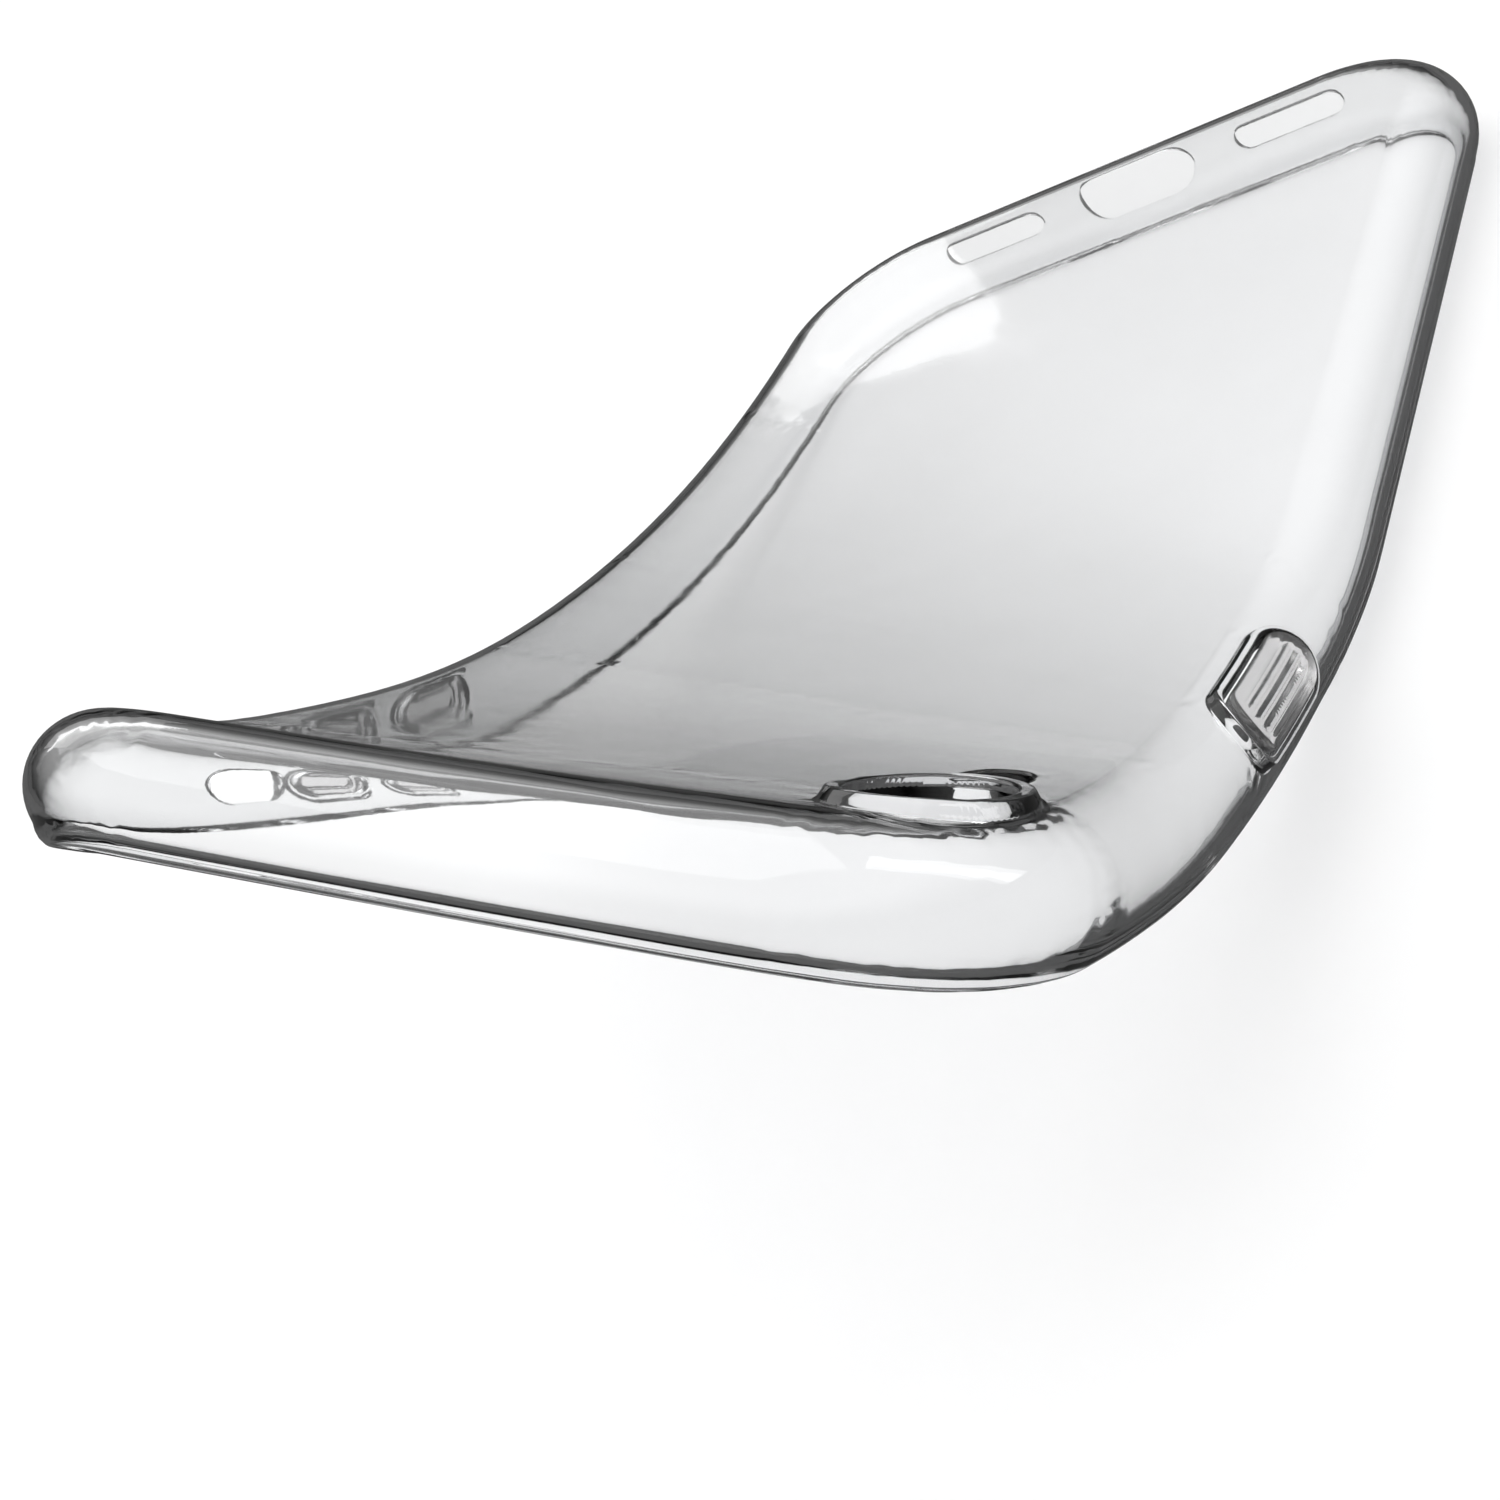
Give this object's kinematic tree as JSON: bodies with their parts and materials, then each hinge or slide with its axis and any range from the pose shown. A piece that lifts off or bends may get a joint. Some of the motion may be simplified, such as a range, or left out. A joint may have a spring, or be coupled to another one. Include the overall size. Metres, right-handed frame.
{
  "type": "phone case",
  "caption": "Clear flexible phone case with rounded walls, a raised camera collar and pressable button covers, held bent with its camera end lifted.",
  "frame": {"origin": "on the back panel's inner face, where the phone's back rests, on the centre line 25 mm in from the charging-port end of the phone", "axes": "+Z out of the back of the flat port end, +Y along the case towards the charging-port end, +X towards the side button"},
  "size_m": [0.0798, 0.1502, 0.0565],
  "materials": {
    "clear_tpu": "glossy, transparent",
    "collar_tpu": "polished, transparent",
    "cover_tpu": "finely ribbed, translucent"
  },
  "bodies": {
    "port_end": {"back_panel_0": "clear_tpu", "port_end_wall": "clear_tpu", "port_end_corner_power": "clear_tpu", "port_end_corner_volume": "clear_tpu", "power_wall_0": "clear_tpu"},
    "strip_1": {"back_panel_1": "clear_tpu", "power_wall_1": "clear_tpu", "volume_wall_1": "clear_tpu"},
    "strip_2": {"back_panel_2": "clear_tpu", "power_wall_2": "clear_tpu", "volume_wall_2": "clear_tpu"},
    "strip_3": {"back_panel_3": "clear_tpu", "power_wall_3": "clear_tpu", "volume_wall_3": "clear_tpu"},
    "strip_4": {"back_panel_4": "clear_tpu", "power_wall_4": "clear_tpu", "volume_wall_4": "clear_tpu", "camera_collar": "collar_tpu"},
    "camera_end": {"back_panel_5": "clear_tpu", "camera_end_wall": "clear_tpu", "camera_end_corner_power": "clear_tpu", "camera_end_corner_volume": "clear_tpu"},
    "side_button": {"side_button_cover": "cover_tpu"},
    "volume_down": {"volume_down_cover": "cover_tpu"},
    "volume_up": {"volume_up_cover": "cover_tpu"}
  },
  "joints": [
    {"name": "flex_1", "type": "hinge", "parent": "port_end", "child": "strip_1", "pos_m": [0, -0.02275, 0.0005], "axis": [-0.7231, 0.6907, 0], "range_deg": [-8, 2], "stiffness_Nm_per_rad": 0.5},
    {"name": "flex_2", "type": "hinge", "parent": "strip_1", "child": "strip_2", "pos_m": [0.0001, -0.04389, 0.00264], "axis": [-0.8454, 0.5334, 0.0279], "range_deg": [-11, 2.75], "stiffness_Nm_per_rad": 0.4},
    {"name": "flex_3", "type": "hinge", "parent": "strip_2", "child": "strip_3", "pos_m": [0.0009, -0.07093, 0.00988], "axis": [-0.8855, 0.4613, 0.0558], "range_deg": [-11, 2.75], "stiffness_Nm_per_rad": 0.3},
    {"name": "flex_4", "type": "hinge", "parent": "strip_3", "child": "strip_4", "pos_m": [0.00205, -0.08613, 0.01681], "axis": [-0.9252, 0.3613, 0.1162], "range_deg": [-10.5, 2.62], "stiffness_Nm_per_rad": 0.3},
    {"name": "flex_5", "type": "hinge", "parent": "strip_4", "child": "camera_end", "pos_m": [0.0053, -0.10857, 0.03193], "axis": [-0.9442, 0.2668, 0.1934], "range_deg": [-17.5, 4.38], "stiffness_Nm_per_rad": 0.3},
    {"name": "side_button_press", "type": "slide", "parent": "strip_2", "child": "side_button", "axis": [-0.9464, -0.1094, -0.3039], "range_m": [0, 0.0004], "stiffness_N_per_m": 1500},
    {"name": "volume_down_press", "type": "slide", "parent": "strip_3", "child": "volume_down", "axis": [0.96, -0.053, -0.275], "range_m": [0, 0.0004], "stiffness_N_per_m": 1500},
    {"name": "volume_up_press", "type": "slide", "parent": "strip_4", "child": "volume_up", "axis": [0.9415, -0.0838, -0.3265], "range_m": [0, 0.0004], "stiffness_N_per_m": 1500}
  ],
  "couplings": [
    {"joint": "flex_2", "follows": "flex_1", "ratio": 1.375},
    {"joint": "flex_3", "follows": "flex_1", "ratio": 1.375},
    {"joint": "flex_4", "follows": "flex_1", "ratio": 1.3125},
    {"joint": "flex_5", "follows": "flex_1", "ratio": 2.1875}
  ]
}
